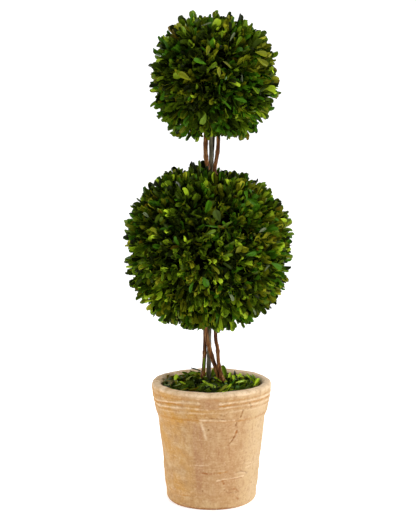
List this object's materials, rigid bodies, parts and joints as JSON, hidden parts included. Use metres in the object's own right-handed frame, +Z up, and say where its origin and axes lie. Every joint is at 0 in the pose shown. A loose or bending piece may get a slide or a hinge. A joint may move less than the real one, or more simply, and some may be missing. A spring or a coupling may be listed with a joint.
{
  "type": "box topiary ball",
  "caption": "Boxwood topiary with a small clipped leaf ball above a larger one on slim woody stems, standing in a round terracotta pot topped with loose leaves.",
  "frame": {"origin": "middle of the pot's flat underside", "axes": "+Z up along the trunk, -Y towards the viewer's side"},
  "size_m": [0.2126, 0.2111, 0.6096],
  "materials": {
    "terracotta": "aged, matt, chalky",
    "foam": "dry, dark",
    "litter": "dry leaves",
    "grey_bark": "weathered grey",
    "brown_bark": "satin brown bark",
    "dark_bark": "dark bark",
    "foliage": "leathery green leaves"
  },
  "bodies": {
    "root": {"pot": "terracotta", "fill": "foam", "leaf_litter": "litter", "trunk": "grey_bark", "stem_left": "brown_bark", "stem_right": "brown_bark", "stem_cross": "brown_bark", "stem_rear": "dark_bark", "lower_ball": "foliage", "upper_ball": "foliage"}
  },
  "joints": []
}
